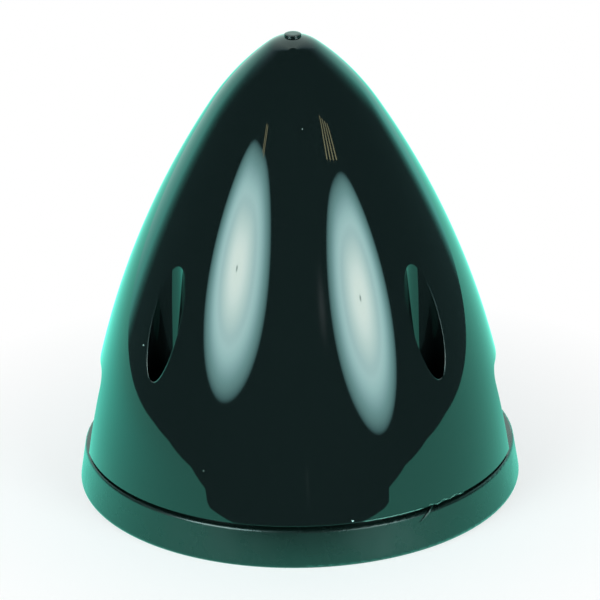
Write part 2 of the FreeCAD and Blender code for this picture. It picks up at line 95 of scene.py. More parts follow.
ROOM_PATCHES = (  # turn, lift, half width, half height, and what the middle adds to the room's tone
    (18.0, 20.5, 4.0, 7.5, (0.34, 0.36, 0.38)),
    (4.7, -4.0, 1.4, 5.0, (0.12, 0.15, 0.15)),
)
TABLE_EDGE = np.array([  # mm to the right of the axis and behind it, along the table's front edge
    (-165, -30), (-150, -58), (-100, -76), (-60, -66), (-40, -51), (0, -46), (40, -51), (60, -68), (100, -76),
    (150, -60), (175, -20),
])
TABLE_BACK, TABLE_HEIGHT = 0.5, 0.0001
TABLE_GREEN, TABLE_SHEEN = np.array([0.33, 1.58, 1.22]), np.array([0.0, 0.5, 0.4])
TABLE_SHEEN_PLACE, TABLE_SHEEN_RADIUS = (-0.07, 0.03), 0.06
SWEEP_EDGE = np.array([  # lift, then the turns at which the sweep ends on the left and on the right
    (-12, -120, 134), (0, -118, 131), (10, -117, 129), (20, -115, 122), (30, -112, 117), (40, -107, 114),
    (50, -102, 112), (62, -98, 111), (80, -94, 110),
])
SWEEP_FADE = np.array([(-12, 8.0), (5, 14.0), (30, 22.0), (45, 18.0), (80, 22.0)])  # lift, and the fade's width
SWEEP_LOW, SWEEP_LOW_GAIN = np.array([0.36, 1.58, 1.33]), np.array([0.72, 0.02, 0.12])
SWEEP_TOP, SWEEP_TOP_GAIN = np.array([0.34, 0.60, 0.66]), np.array([0.80, 0.95, 0.80])

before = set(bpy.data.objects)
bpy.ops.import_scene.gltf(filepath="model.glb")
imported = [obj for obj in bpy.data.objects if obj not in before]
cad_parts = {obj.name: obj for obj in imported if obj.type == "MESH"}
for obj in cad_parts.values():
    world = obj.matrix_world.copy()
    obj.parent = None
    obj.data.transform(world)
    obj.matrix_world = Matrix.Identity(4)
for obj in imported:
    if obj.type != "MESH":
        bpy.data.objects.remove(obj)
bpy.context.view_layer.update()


# ---------------------------------------------------------------- colours and nodes


def linear(hex_colour):
    """An sRGB hex colour, such as "#10181a", as linear red, green, blue and full alpha."""
    parts = [int(hex_colour[i : i + 2], 16) / 255 for i in (1, 3, 5)]
    return [c / 12.92 if c <= 0.04045 else ((c + 0.055) / 1.055) ** 2.4 for c in parts] + [1.0]


def node(tree, kind, settings=None, **inputs):
    """Adds a node with its settings, and sets or links its inputs by name, or by number as i0, i1 and so on."""
    made = tree.nodes.new(kind)
    for name, value in (settings or {}).items():
        setattr(made, name, value)
    for name, value in inputs.items():
        key = int(name[1:]) if name[0] == "i" and name[1:].isdigit() else name.replace("_", " ")
        if isinstance(value, bpy.types.NodeSocket):
            tree.links.new(value, made.inputs[key])
        else:
            made.inputs[key].default_value = value
    return made


def new_material(name):
    """An empty node material of that name."""
    material = bpy.data.materials.new(name)
    material.use_nodes = True
    material.node_tree.nodes.clear()
    return material


def close(tree, shader, kind="ShaderNodeOutputMaterial"):
    """Links a shader to the tree's output."""
    output = tree.nodes.new(kind)
    tree.links.new(shader, output.inputs["Surface"])


# ---------------------------------------------------------------- sizes and colours a user changes


class SpinnerFinish(bpy.types.PropertyGroup):
    """Colours and gloss of the spinner's materials."""

    cone_colour: bpy.props.FloatVectorProperty(
        name="Cone colour", description="Moulded-in colour of the cone", default=linear("#0b0e0e"),
        subtype="COLOR", size=4, min=0.0, max=1.0,
    )
    cone_roughness: bpy.props.FloatProperty(
        name="Cone roughness", description="Roughness of the polished moulding", default=0.018, min=0.0, max=1.0
    )
    plate_colour: bpy.props.FloatVectorProperty(
        name="Backplate colour", description="Moulded-in colour of the backplate", default=linear("#0a1311"),
        subtype="COLOR", size=4, min=0.0, max=1.0,
    )
    plate_roughness: bpy.props.FloatProperty(
        name="Backplate roughness", description="Roughness of the satin moulding", default=0.27, min=0.0, max=1.0
    )
    steel_colour: bpy.props.FloatVectorProperty(
        name="Screw colour", description="Colour of the zinc plating", default=linear("#b9bcbb"),
        subtype="COLOR", size=4, min=0.0, max=1.0,
    )
    steel_roughness: bpy.props.FloatProperty(
        name="Screw roughness", description="Roughness of the zinc plating", default=0.3, min=0.0, max=1.0
    )
    # The flash's pale teal is partly the flash's own colour and partly a painted highlight of the cone's base edge.
    flash_highlight_colour: bpy.props.FloatVectorProperty(
        name="Flash colour", description="Colour of the stretched flash", default=linear("#5d7f76"),
        subtype="COLOR", size=4, min=0.0, max=1.0,
    )
    dust_colour: bpy.props.FloatVectorProperty(
        name="Dust colour", description="Colour of the dust specks", default=linear("#dfe6e3"),
        subtype="COLOR", size=4, min=0.0, max=1.0,
    )


class SpinnerDetails(bpy.types.PropertyGroup):
    """Sizes of the spinner's small pieces."""

    screw_length: bpy.props.FloatProperty(
        name="Screw length", description="Length under the head", default=0.006, unit="LENGTH", precision=5
    )
    thread_pitch: bpy.props.FloatProperty(
        name="Thread pitch", description="Pitch of the self-tapping thread", default=0.0009, unit="LENGTH", precision=5
    )
    thread_core: bpy.props.FloatProperty(
        name="Thread core", description="Core diameter", default=0.002, unit="LENGTH", precision=5
    )
    thread_crest: bpy.props.FloatProperty(
        name="Thread crest", description="Diameter over the crests, just inside the pilot hole", default=0.00218,
        unit="LENGTH", precision=5,
    )
    thread_root: bpy.props.FloatProperty(
        name="Thread root", description="How deep the ridge is sunk in the core", default=0.00006, unit="LENGTH",
        precision=5,
    )
    thread_start: bpy.props.FloatProperty(
        name="Thread start", description="Plain neck under the head", default=0.0006, unit="LENGTH", precision=5
    )
    thread_end: bpy.props.FloatProperty(
        name="Thread end", description="From under the head to the end of the thread", default=0.005, unit="LENGTH",
        precision=5,
    )
    flash_thickness: bpy.props.FloatProperty(
        name="Flash thickness", description="Thickness of the moulding flash", default=0.00022, unit="LENGTH",
        precision=5,
    )
    speck_size: bpy.props.FloatProperty(
        name="Speck size", description="Width of an ordinary dust speck", default=0.00026, unit="LENGTH", precision=5
    )


class SpinnerStudio(bpy.types.PropertyGroup):
    """Camera, lights and boards round the spinner."""

    camera_distance: bpy.props.FloatProperty(
        name="Camera distance", description="From the lens to the point that it looks at", default=0.570,
        unit="LENGTH",
    )
    camera_pitch: bpy.props.FloatProperty(
        name="Camera pitch", description="How far the camera looks down", default=math.radians(23.35), subtype="ANGLE"
    )
    camera_turn: bpy.props.FloatProperty(
        name="Camera turn", description="How far the camera stands to the right of the front",
        default=math.radians(1.0), subtype="ANGLE",
    )
    camera_roll: bpy.props.FloatProperty(
        name="Camera roll", description="How far the camera leans", default=math.radians(-0.95), subtype="ANGLE"
    )
    camera_lens: bpy.props.FloatProperty(
        name="Lens", description="Focal length in millimetres, on a 36 mm sensor", default=267.2
    )
    look_right: bpy.props.FloatProperty(
        name="Look right", description="How far right of the axis the camera looks", default=0.00036, unit="LENGTH"
    )
    look_height: bpy.props.FloatProperty(
        name="Look height", description="Height of the point that the camera looks at", default=0.0242, unit="LENGTH"
    )
    floor_colour: bpy.props.FloatVectorProperty(
        name="Floor colour", description="Colour of the paper floor", default=linear("#fff6f9"),
        subtype="COLOR", size=4, min=0.0, max=1.0,
    )
    surround_strength: bpy.props.FloatProperty(
        name="Surround strength", description="Brightness of the green boards that the gloss mirrors", default=1.0
    )
    box_strength: bpy.props.FloatProperty(
        name="Softbox strength", description="Brightness of the two round softboxes", default=1.0
    )


# ---------------------------------------------------------------- the skin's form


def skin_arcs():
    """The arcs from tip to base in mm, each as (centre radius, centre height, arc radius, lowest height)."""
    tip = (0.0, SKIN_TOP - TIP_RADIUS, TIP_RADIUS, SKIN_TOP - TIP_RADIUS * (1 - math.sin(TIP_LEAN)))
    join = TIP_RADIUS * math.cos(TIP_LEAN)
    shoulder = (
        join - SHOULDER_RADIUS * math.cos(TIP_LEAN), tip[3] - SHOULDER_RADIUS * math.sin(TIP_LEAN), SHOULDER_RADIUS,
        tip[3] - SHOULDER_RADIUS * (math.sin(TIP_LEAN) - math.sin(SIDE_LEAN)),
    )
    edge = shoulder[0] + SHOULDER_RADIUS * math.cos(SIDE_LEAN)
    spread, rise = BASE_RADIUS - edge, shoulder[3] - BASE_HEIGHT
    radius = (spread**2 + rise**2) / (2 * (rise * math.sin(SIDE_LEAN) - spread * math.cos(SIDE_LEAN)))
    side = (edge - radius * math.cos(SIDE_LEAN), shoulder[3] - radius * math.sin(SIDE_LEAN), radius, BASE_HEIGHT)
    return tip, shoulder, side


def skin(height):
    """Radius of the skin in mm at heights in mm, with its outward normal's radial and upward parts."""
    tip, shoulder, side = skin_arcs()
    zones = [height >= tip[3], height >= shoulder[3], height < shoulder[3]]
    centre, level, arc = (np.select(zones, [a[i] for a in (tip, shoulder, side)]) for i in range(3))
    reach = np.sqrt(np.maximum(arc**2 - (height - level) ** 2, 0.0))
    return centre + reach, reach / arc, (height - level) / arc


def round_axis(turn, radius, height):
    """points = (r sin t, -r cos t, z) in metres, from turns t in degrees and radii and heights in mm."""
    t = np.radians(turn)
    return np.stack(np.broadcast_arrays(radius * np.sin(t), -radius * np.cos(t), height), axis=-1) * MM


def on_skin(turn, height, proud=0.0):
    """Points at turns in degrees and heights in mm, moved out along the skin's normal by some mm."""
    radius, out, up = skin(height)
    return round_axis(turn, radius + proud * out, height + proud * up)


# ---------------------------------------------------------------- materials


def skin_normal(tree, own):
    """The skin's exact normal where the mesh's own nearly meets it, and the mesh's own elsewhere.

    The exact normal is (x / r cos a, y / r cos a, sin a), and sin a grows evenly with height on each arc.
    """
    place = node(tree, "ShaderNodeTexCoord").outputs["Object"]
    height = node(tree, "ShaderNodeSeparateXYZ", i0=place).outputs["Z"]
    tip, shoulder, side = skin_arcs()
    levels = (BASE_HEIGHT, shoulder[3], tip[3], SKIN_TOP)
    sines = ((BASE_HEIGHT - side[1]) / side[2], math.sin(SIDE_LEAN), math.sin(TIP_LEAN), 1.0)
    sine = sines[0]
    for i in range(3):
        gain = node(
            tree, "ShaderNodeMapRange", Value=height, From_Min=levels[i] * MM, From_Max=levels[i + 1] * MM,
            To_Min=0.0, To_Max=sines[i + 1] - sines[i],
        )
        sine = node(tree, "ShaderNodeMath", {"operation": "ADD"}, i0=sine, i1=gain.outputs["Result"]).outputs[0]
    square = node(tree, "ShaderNodeMath", {"operation": "MULTIPLY"}, i0=sine, i1=sine).outputs[0]
    rest = node(tree, "ShaderNodeMath", {"operation": "SUBTRACT", "use_clamp": True}, i0=1.0, i1=square).outputs[0]
    cosine = node(tree, "ShaderNodeMath", {"operation": "SQRT"}, i0=rest).outputs[0]
    level = node(tree, "ShaderNodeVectorMath", {"operation": "MULTIPLY"}, i0=place, i1=(1.0, 1.0, 0.0)).outputs[0]
    across = node(tree, "ShaderNodeVectorMath", {"operation": "NORMALIZE"}, i0=level).outputs[0]
    spread = node(tree, "ShaderNodeVectorMath", {"operation": "SCALE"}, i0=across, Scale=cosine).outputs[0]
    upward = node(tree, "ShaderNodeCombineXYZ", Z=sine).outputs[0]
    exact = node(tree, "ShaderNodeVectorMath", {"operation": "ADD"}, i0=spread, i1=upward).outputs[0]
    agree = node(tree, "ShaderNodeVectorMath", {"operation": "DOT_PRODUCT"}, i0=own, i1=exact).outputs["Value"]
    met = node(
        tree, "ShaderNodeMapRange", Value=agree, From_Min=SKIN_MISSED, From_Max=SKIN_MET, To_Min=0.0, To_Max=1.0
    )
    return node(
        tree, "ShaderNodeMix", {"data_type": "VECTOR"}, i0=met.outputs["Result"], i4=own, i5=exact
    ).outputs[1]


def rounded_edges(tree, radius, smooth=None):
    """A normal that is rounded over at edges by a radius in metres; elsewhere it is the mesh's own, or smooth's."""
    own = node(tree, "ShaderNodeNewGeometry").outputs["Normal"]
    rounded = node(tree, "ShaderNodeBevel", {"samples": 6}, Radius=radius).outputs["Normal"]
    agree = node(tree, "ShaderNodeVectorMath", {"operation": "DOT_PRODUCT"}, i0=own, i1=rounded).outputs["Value"]
    edge = node(
        tree, "ShaderNodeMapRange", Value=agree, From_Min=EDGE_BEGINS, From_Max=EDGE_FULL, To_Min=0.0, To_Max=1.0
    )
    face = smooth(tree, own) if smooth else own
    return node(
        tree, "ShaderNodeMix", {"data_type": "VECTOR"}, i0=edge.outputs["Result"], i4=face, i5=rounded
    ).outputs[1]


def cone_plastic(finish):
    """ABS, injection-moulded in a polished mould: a black that mirrors the room, with a faint flow ripple and haze."""
    material = new_material("abs_black_polished_moulding")
    tree = material.node_tree
    place = node(tree, "ShaderNodeTexCoord").outputs["Object"]
    # Flow ripple about 14 mm long, a few micrometres high.
    ripple = node(tree, "ShaderNodeTexNoise", Vector=place, Scale=70.0, Detail=1.0, Roughness=0.4)
    # Moulded corners are rounded by about 0.14 mm, and that carries thin bright lines.
    swell = node(
        tree, "ShaderNodeBump", Strength=0.02, Distance=0.0002, Height=ripple.outputs["Fac"],
        Normal=rounded_edges(tree, 0.00014, skin_normal),
    )
    # Wipe marks and handling haze in patches about 6 mm wide: roughness only.
    haze = node(tree, "ShaderNodeTexNoise", Vector=place, Scale=160.0, Detail=4.0, Roughness=0.6)
    rough = node(
        tree, "ShaderNodeMapRange", Value=haze.outputs["Fac"], From_Min=0.35, From_Max=0.75,
        To_Min=finish.cone_roughness, To_Max=finish.cone_roughness + 0.02,
    )
    shade = node(
        tree, "ShaderNodeBsdfPrincipled", Base_Color=finish.cone_colour, IOR=PLASTIC_IOR,
        Roughness=rough.outputs["Result"], Normal=swell.outputs["Normal"],
    )
    close(tree, shade.outputs["BSDF"])
    return material


def plate_plastic(finish):
    """Glass-filled nylon, injection-moulded in a satin mould: a softer, greyer black with a fine grain."""
    material = new_material("nylon_black_satin_moulding")
    tree = material.node_tree
    place = node(tree, "ShaderNodeTexCoord").outputs["Object"]
    # Spark-eroded grain is about 0.05 mm; it is drawn at 0.3 mm to show.
    grain = node(tree, "ShaderNodeTexNoise", Vector=place, Scale=3300.0, Detail=2.0, Roughness=0.5)
    # Edges are rounded by about 0.2 mm, so the rim's top edge carries a light line.
    fine = node(
        tree, "ShaderNodeBump", Strength=0.12, Distance=0.00004, Height=grain.outputs["Fac"],
        Normal=rounded_edges(tree, 0.00022),
    )
    # Handling rubs it smoother in patches about 4.5 mm wide.
    rub = node(tree, "ShaderNodeTexNoise", Vector=place, Scale=220.0, Detail=3.0, Roughness=0.55)
    rough = node(
        tree, "ShaderNodeMapRange", Value=rub.outputs["Fac"], From_Min=0.3, From_Max=0.7,
        To_Min=finish.plate_roughness - 0.05, To_Max=finish.plate_roughness + 0.06,
    )
    shade = node(
        tree, "ShaderNodeBsdfPrincipled", Base_Color=finish.plate_colour, IOR=PLASTIC_IOR,
        Roughness=rough.outputs["Result"], Normal=fine.outputs["Normal"],
    )
    close(tree, shade.outputs["BSDF"])
    return material


def screw_steel(finish):
    """Steel, cold-headed and zinc-plated: a cool grey metal with a slightly cloudy plating."""
    material = new_material("steel_zinc_plated")
    tree = material.node_tree
    place = node(tree, "ShaderNodeTexCoord").outputs["Object"]
    # Clouds in the plating are about 1 mm wide.
    cloud = node(tree, "ShaderNodeTexNoise", Vector=place, Scale=900.0, Detail=3.0, Roughness=0.6)
    rough = node(
        tree, "ShaderNodeMapRange", Value=cloud.outputs["Fac"], From_Min=0.3, From_Max=0.7,
        To_Min=finish.steel_roughness - 0.08, To_Max=finish.steel_roughness + 0.1,
    )
    shade = node(
        tree, "ShaderNodeBsdfPrincipled", Base_Color=finish.steel_colour, Metallic=1.0,
        Roughness=rough.outputs["Result"],
    )
    close(tree, shade.outputs["BSDF"])
    return material


def flash_plastic_painted_highlight(finish):
    """ABS flash, stretched thin where the mould closes: paler and duller than the skin it hangs on. Its pale teal is
    partly the flash's own colour and partly a painted highlight for the light line that the base edge catches.
    """
    material = new_material("abs_flash_painted_highlight")
    tree = material.node_tree
    place = node(tree, "ShaderNodeTexCoord").outputs["Object"]
    # Stress marks about 0.4 mm apart whiten the thin plastic.
    marks = node(tree, "ShaderNodeTexNoise", Vector=place, Scale=2500.0, Detail=2.0, Roughness=0.6)
    pale = node(
        tree, "ShaderNodeMix", {"data_type": "RGBA"}, i0=marks.outputs["Fac"], i6=finish.flash_highlight_colour,
        i7=linear(FLASH_SHADOW),
    )
    shade = node(tree, "ShaderNodeBsdfPrincipled", Base_Color=pale.outputs[2], IOR=PLASTIC_IOR, Roughness=0.35)
    close(tree, shade.outputs["BSDF"])
    return material


def dust_lint(finish):
    """Lint and dust: pale dry fibres that scatter the light."""
    material = new_material("lint_dust")
    tree = material.node_tree
    place = node(tree, "ShaderNodeTexCoord").outputs["Object"]
    # Fibres about 0.05 mm apart.
    fibres = node(tree, "ShaderNodeTexNoise", Vector=place, Scale=20000.0, Detail=2.0, Roughness=0.6)
    tone = node(
        tree, "ShaderNodeMix", {"data_type": "RGBA"}, i0=fibres.outputs["Fac"], i6=finish.dust_colour,
        i7=linear(DUST_SHADOW),
    )
    shade = node(tree, "ShaderNodeBsdfPrincipled", Base_Color=tone.outputs[2], Roughness=0.9)
    close(tree, shade.outputs["BSDF"])
    return material


def wear(node_name, material):
    """Gives a CAD node its finish."""
    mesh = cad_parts[node_name].data
    if not mesh.materials:
        mesh.materials.append(material)
    for i in range(len(mesh.materials)):
        mesh.materials[i] = material


def studio_paper(studio):
    """Matt paper that takes the part's shadow, and turns to plain white away from it."""
    material = new_material("studio_paper")
    tree = material.node_tree
    path = node(tree, "ShaderNodeLightPath").outputs
    paper = node(tree, "ShaderNodeBsdfDiffuse", Color=studio.floor_colour)
    white = node(tree, "ShaderNodeEmission", Color=WHITE, Strength=1.0)
    place = node(tree, "ShaderNodeTexCoord").outputs["Object"]
    away = node(tree, "ShaderNodeVectorMath", {"operation": "LENGTH"}, i0=place)
    # The contact shadow is fullest within 30 mm of the axis, and is gone at 60 mm.
    fade = node(
        tree, "ShaderNodeMapRange", Value=away.outputs["Value"], From_Min=0.03, From_Max=0.06, To_Min=0.7, To_Max=1.0
    )
    seen = node(
        tree, "ShaderNodeMath", {"operation": "MULTIPLY"}, i0=path["Is Camera Ray"], i1=fade.outputs["Result"]
    )
    mixed = node(tree, "ShaderNodeMixShader", Fac=seen.outputs[0], i1=paper.outputs[0], i2=white.outputs[0])
    # From below the sheet is clear, so the part's underside can be looked at.
    below = node(tree, "ShaderNodeNewGeometry").outputs["Backfacing"]
    clear = node(tree, "ShaderNodeBsdfTransparent")
    one_sided = node(tree, "ShaderNodeMixShader", Fac=below, i1=mixed.outputs[0], i2=clear.outputs[0])
    close(tree, one_sided.outputs[0])
    return material


def glow(name, colour, strength):
    """A board that shines evenly."""
    material = new_material(name)
    tree = material.node_tree
    shine = node(tree, "ShaderNodeEmission", Color=colour, Strength=strength)
    close(tree, shine.outputs[0])
    return material


def painted_light(name, strength):
    """A board that shines with the colour painted on its points as "shine"."""
    material = new_material(name)
    tree = material.node_tree
    paint = node(tree, "ShaderNodeAttribute", {"attribute_name": "shine"})
    shine = node(tree, "ShaderNodeEmission", Color=paint.outputs["Color"], Strength=strength)
    close(tree, shine.outputs[0])
    return material


# ---------------------------------------------------------------- meshes


def grid_mesh(name, points, wrap=False, material=None):
    """A sheet of quads through points[u, v], joined end to start along v if it wraps."""
    nu, nv = points.shape[:2]
    iu = np.arange(nu - 1)[:, None]
    iv = np.arange(nv if wrap else nv - 1)[None, :]
    ju, jv = iu + 1, (iv + 1) % nv
    quads = np.stack([iu * nv + iv, ju * nv + iv, ju * nv + jv, iu * nv + jv], axis=-1).reshape(-1, 4)
    mesh = bpy.data.meshes.new(name)
    mesh.vertices.add(nu * nv)
    mesh.vertices.foreach_set("co", points.reshape(-1).astype(np.float32))
    mesh.loops.add(quads.size)
    mesh.loops.foreach_set("vertex_index", quads.reshape(-1).astype(np.int32))
    mesh.polygons.add(len(quads))
    mesh.polygons.foreach_set("loop_start", np.arange(0, quads.size, 4, dtype=np.int32))
    mesh.update(calc_edges=True)
    mesh.validate()
    if material:
        mesh.materials.append(material)
    return mesh


def seal(mesh, work, gap):
    """Writes the work mesh back with points nearer than a gap in metres merged and its faces turned outwards."""
    bmesh.ops.remove_doubles(work, verts=work.verts, dist=gap)
    bmesh.ops.recalc_face_normals(work, faces=work.faces)
    work.to_mesh(mesh)
    work.free()


def stand(name, data):
    """An object at the origin that carries a mesh or a camera's lens."""
    made = bpy.data.objects.new(name, data)
    bpy.context.scene.collection.objects.link(made)
    return made


def swept(name, path, across, material):
    """A closed bar: points[u, v] = path[u] + across[u, v], whose first and last rings shrink to the path's ends."""
    points = path[:, None, :] + across
    points[0] = path[0]
    points[-1] = path[-1]
    mesh = grid_mesh(name, points, wrap=True, material=material)
    work = bmesh.new()
    work.from_mesh(mesh)
    seal(mesh, work, 1e-7)
    mesh.polygons.foreach_set("use_smooth", np.ones(len(mesh.polygons), bool))
    return mesh


def thread_ridge(x, y, seat, details):
    """A three-cornered ridge, crest out, on the helix (x + r cos a, y + r sin a, seat - start - pitch a / 2 pi).

    It fades to a point over the first and last 1.2 radians.
    """
    turns = (details.thread_end - details.thread_start) / details.thread_pitch
    a = np.linspace(0, 2 * np.pi * turns, int(40 * turns))
    fade = np.clip(np.minimum(a, a[-1] - a) / 1.2, 0.05, 1)[:, None]
    root = details.thread_core / 2 - details.thread_root
    radial = np.stack([np.cos(a), np.sin(a), np.zeros_like(a)], axis=-1)
    drop = seat - details.thread_start - details.thread_pitch * a / (2 * np.pi)
    path = np.array([x, y, 0.0]) + root * radial + drop[:, None] * UP
    half = 0.28 * details.thread_pitch * fade * UP
    tall = (details.thread_crest / 2 - root) * fade * radial
    return path, np.stack([half, tall, -half], axis=1)


def round_bar(path, radius, sides=8):
    """Ring of offsets round each point of a path: radius (cos b n + sin b m), with n and m square to the path."""
    ahead = np.gradient(path, axis=0)
    ahead /= np.linalg.norm(ahead, axis=1, keepdims=True)
    n = np.cross(ahead, UP)
    n /= np.linalg.norm(n, axis=1, keepdims=True)
    m = np.cross(ahead, n)
    b = np.linspace(0, 2 * np.pi, sides, endpoint=False)
    ring = np.cos(b)[None, :, None] * n[:, None, :] + np.sin(b)[None, :, None] * m[:, None, :]
    return ring * radius[:, None, None]


def flash_line(thickness):
    """Path and radius of the flash: it runs along the base edge, and sums of sines make it wander and thin out."""
    along = np.linspace(0, 1, 90)
    ragged = 0.55 + 0.25 * np.sin(31 * along) + 0.2 * np.sin(67 * along + 1.3)
    wave = 0.10 + 0.10 * np.sin(19 * along + 0.4) + 0.04 * np.sin(53 * along)
    path = on_skin(FLASH_TURN + FLASH_SPAN * along, BASE_HEIGHT + wave, 0.02)
    return path, ragged * end_fade(along) * thickness / 2


def burr_line(thickness):
    """Path and radius of the burr: an even hair along the base edge that fades at both ends. Worn in the pale flash
    colour, it is a painted highlight for the light line along the base edge.
    """
    along = np.linspace(0, 1, 90)
    path = on_skin(BURR_TURN + BURR_SPAN * along, np.full(90, BASE_HEIGHT + 0.05), 0.01)
    return path, end_fade(along) * thickness * 0.32


def whisker_line(thickness):
    """Path and radius of the whisker: straight runs from the seam down the rim's drafted face, tapered at both ends."""
    turn, height = WHISKER.T
    face = RIM_RADIUS - RIM_DRAFT * height / RIM_HEIGHT + WHISKER_PROUD
    corners = round_axis(turn, np.where(height > WHISKER_ROOT_HEIGHT, WHISKER_ROOT_REACH, face), height)
    last = len(corners) - 1
    fine = np.linspace(0, last, 40)
    path = np.stack([np.interp(fine, np.arange(last + 1), corners[:, i]) for i in range(3)], axis=-1)
    return path, np.clip(np.minimum(fine, last - fine) / 1.5, 0.15, 1) * thickness * 0.6


def end_fade(along):
    """1 along the middle, falling to almost nothing over the first and last 6 % of the way."""
    return np.clip(np.minimum(along, 1 - along) / 0.06, 0.02, 1)


def speck_lumps(size):
    """points[speck, a, b] = centre + width / 2 (sin a cos b q s + 0.7 sin a sin b q r + 0.35 cos a n), in metres.

    s, r and n are the skin's sideways, rising and outward directions, and q = 1 + 0.25 sin(3 b + 1).
    """
    turn, height, scale = SPECKS.T
    out, up = skin(height)[1:]
    t = np.radians(turn)
    n = np.stack([out * np.sin(t), -out * np.cos(t), up], axis=-1)
    side = np.stack([np.cos(t), np.sin(t), np.zeros_like(t)], axis=-1)
    rise = np.cross(n, side)
    a = np.linspace(0, np.pi, 7)[:, None]
    b = np.linspace(0, 2 * np.pi, 10, endpoint=False)[None, :]
    lump = 1 + 0.25 * np.sin(3 * b + 1.0)
    ball = np.stack(np.broadcast_arrays(
        np.sin(a) * np.cos(b) * lump, np.sin(a) * np.sin(b) * lump * 0.7, np.cos(a) * 0.35
    ), axis=-1)
    axes = np.stack([side, rise, n], axis=1)
    width = (scale * size / 2)[:, None, None, None]
    return on_skin(turn, height)[:, None, None, :] + width * np.einsum("abk,skd->sabd", ball, axes)


# ---------------------------------------------------------------- stage


def bearing(turn, lift):
    """Unit vectors at a turn from the front (-Y), positive to the right (+X), and a lift above the floor."""
    t, e = np.radians(turn), np.radians(lift)
    return np.stack(np.broadcast_arrays(np.sin(t) * np.cos(e), -np.cos(t) * np.cos(e), np.sin(e)), axis=-1)


def facing(turn, lift):
    """The bearing itself, and the right and up of a board there that faces the part."""
    ahead, right = bearing(turn, lift), bearing(turn + 90, 0.0)
    up = np.cross(right, ahead)
    return ahead, right, up * np.sign(up[2])


def stage_sheet(name, points, material, shine=None, mirror_only=False):
    """A stage sheet through points[u, v], with a colour painted on each, and seen by gloss alone if it is so asked."""
    mesh = grid_mesh(name, points, material=material)
    if shine is not None:
        paint = mesh.color_attributes.new("shine", "FLOAT_COLOR", "POINT")
        full = np.concatenate([shine, np.ones(shine.shape[:-1] + (1,))], axis=-1)
        paint.data.foreach_set("color", full.reshape(-1).astype(np.float32))
    made = stand(name, mesh)
    made.visible_camera = False
    if mirror_only:
        made.visible_diffuse = False
        made.visible_shadow = False
        made.visible_transmission = False
    return made


def flat_sheet(centre, right, up):
    """points[u, v] = centre + a right + b up, for a and b from -1 to 1."""
    a = np.array([-1.0, 1.0])[:, None, None]
    b = np.array([-1.0, 1.0])[None, :, None]
    return np.array(centre) + a * np.array(right) + b * np.array(up)


def waves(t):
    """1, cos k t and sin k t for k from 1 to 3, one column each."""
    turns = np.arange(1, 4) * t[:, None]
    return np.concatenate([np.ones_like(t)[:, None], np.cos(turns), np.sin(turns)], axis=1)


def round_lamp(turn, lift, rim):
    """points[r, t] = far (o + tan(r R(t)) (cos t right + sin t up)), and the glow at each r.

    R(t) is the closed curve of three waves that lies nearest the rim's half sizes.
    """
    t = np.linspace(0, 2 * np.pi, 97)
    known = np.linspace(0, 2 * np.pi, len(rim), endpoint=False)
    reach = waves(t) @ np.linalg.lstsq(waves(known), np.array(rim), rcond=None)[0]
    ahead, right, up = facing(turn, lift)
    spread = np.tan(np.radians(LAMP_GLOW[:, :1] * reach))[..., None]
    points = LAMP_DISTANCE * (ahead + spread * (np.cos(t)[:, None] * right + np.sin(t)[:, None] * up))
    return points, np.broadcast_to(LAMP_GLOW[:, None, 1:], points.shape)


def slats(sides, count, share):
    """Strips side by side between two side edges; share of each step across is bright."""
    (a, b), (c, d) = [[np.array(corner) for corner in edge] for edge in sides]
    begin = np.arange(count) / count
    along = np.linspace(0, 1, 5)[None, :, None]
    for first, last in zip(begin, begin + share / count):
        cross = np.array([first, last])[:, None, None]
        place = (a + (b - a) * along) * (1 - cross) + (c + (d - c) * along) * cross
        yield ROOM_DISTANCE * bearing(place[..., 0], place[..., 1])


def soft_patch(turn, lift, wide, high, gain):
    """points[u, v] = far (o + tan(wide) a right + tan(high) b up), for a and b from -1 to 1.

    The shine is the room's tone + gain exp(-4 (a a + b b)), so the patch has no edge.
    """
    a, b = np.meshgrid(np.linspace(-1, 1, 17), np.linspace(-1, 1, 17), indexing="ij")
    ahead, right, up = facing(turn, lift)
    spread = math.tan(math.radians(wide)) * a[..., None] * right + math.tan(math.radians(high)) * b[..., None] * up
    shine = ROOM_TONE + np.exp(-4 * (a**2 + b**2))[..., None] * np.array(gain)
    return ROOM_DISTANCE * (ahead + spread), shine


def table_board():
    """points[u, v] = (x, front(x) + v (back - front(x)), height), and its green with one lighter round patch."""
    x = np.linspace(TABLE_EDGE[0, 0], TABLE_EDGE[-1, 0], 60) * MM
    front = np.interp(x / MM, *TABLE_EDGE.T) * MM
    y = front[:, None] + np.linspace(0, 1, 40) * (TABLE_BACK - front[:, None])
    points = np.stack(np.broadcast_arrays(x[:, None], y, TABLE_HEIGHT), axis=-1)
    off = (points[..., 0] - TABLE_SHEEN_PLACE[0]) ** 2 + (points[..., 1] - TABLE_SHEEN_PLACE[1]) ** 2
    return points, TABLE_GREEN + np.exp(-off / TABLE_SHEEN_RADIUS**2)[..., None] * TABLE_SHEEN


def sweep_board():
    """points[u, v] = far bearing(turn, lift) round the back, from the left edge's turn to the right edge's.

    Its shine grows from the room's tone at the edges to a green that is palest straight behind and dim at the top.
    """
    lift = np.linspace(SWEEP_EDGE[0, 0], SWEEP_EDGE[-1, 0], 60)
    left, right = (np.interp(lift, SWEEP_EDGE[:, 0], SWEEP_EDGE[:, i]) for i in (1, 2))
    turn = left + (right - 360 - left) * np.linspace(0, 1, 80)[:, None]
    points = SWEEP_DISTANCE * bearing(turn, np.broadcast_to(lift, turn.shape))
    edge = np.minimum(np.abs(turn - left), np.abs(turn - (right - 360)))
    rise = np.clip(edge / np.interp(lift, *SWEEP_FADE.T), 0, 1)[..., None] ** 1.5
    deep = np.clip((edge - 12) / 35, 0, 1)[..., None]
    high = np.clip((lift - 15) / 30, 0, 1)[None, :, None]
    low, top = SWEEP_LOW + deep * SWEEP_LOW_GAIN, SWEEP_TOP + deep * SWEEP_TOP_GAIN
    return points, ROOM_TONE + rise * (low + high * (top - low) - ROOM_TONE)


